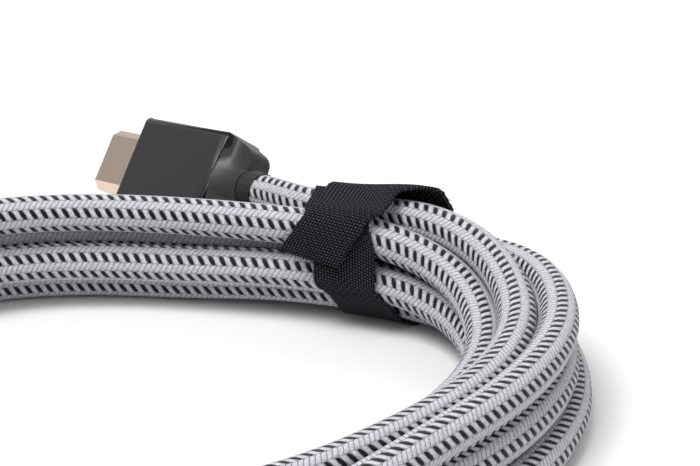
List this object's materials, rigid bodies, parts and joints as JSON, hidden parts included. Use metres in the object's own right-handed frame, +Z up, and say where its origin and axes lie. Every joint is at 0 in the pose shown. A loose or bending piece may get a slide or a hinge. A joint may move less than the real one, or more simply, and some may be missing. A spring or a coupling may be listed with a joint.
{
  "type": "video cable",
  "caption": "Braided video cable coiled into a flat loop, a plug on each end, held by a hook-and-loop strap.",
  "frame": {"origin": "middle of the floor under the whole object", "axes": "+Z up; +Y is the longer way across the coil, from its near side to the side with the strap; +X to the right along the strapped side"},
  "size_m": [0.1668, 0.2174, 0.0274],
  "materials": {
    "braid": "silver-white braided sleeve with black tracers",
    "strap_tape": "black woven hook-and-loop tape",
    "housing_plastic": "satin charcoal",
    "collar_rubber": "soft matt black",
    "shell_metal": "pale champagne plating",
    "insulator": "matt black",
    "contact_plating": "gold plating"
  },
  "bodies": {
    "root": {"cable_coil": "braid", "lead_a": "braid", "lead_b": "braid", "strap": "strap_tape", "plug_a_housing": "housing_plastic", "plug_a_shell": "shell_metal", "plug_a_contact_block": "insulator", "plug_a_contacts_upper": "contact_plating", "plug_a_contacts_lower": "contact_plating", "plug_a_collar": "collar_rubber", "plug_b_housing": "housing_plastic", "plug_b_shell": "shell_metal", "plug_b_contact_block": "insulator", "plug_b_contacts_upper": "contact_plating", "plug_b_contacts_lower": "contact_plating", "plug_b_collar": "collar_rubber"}
  },
  "joints": []
}
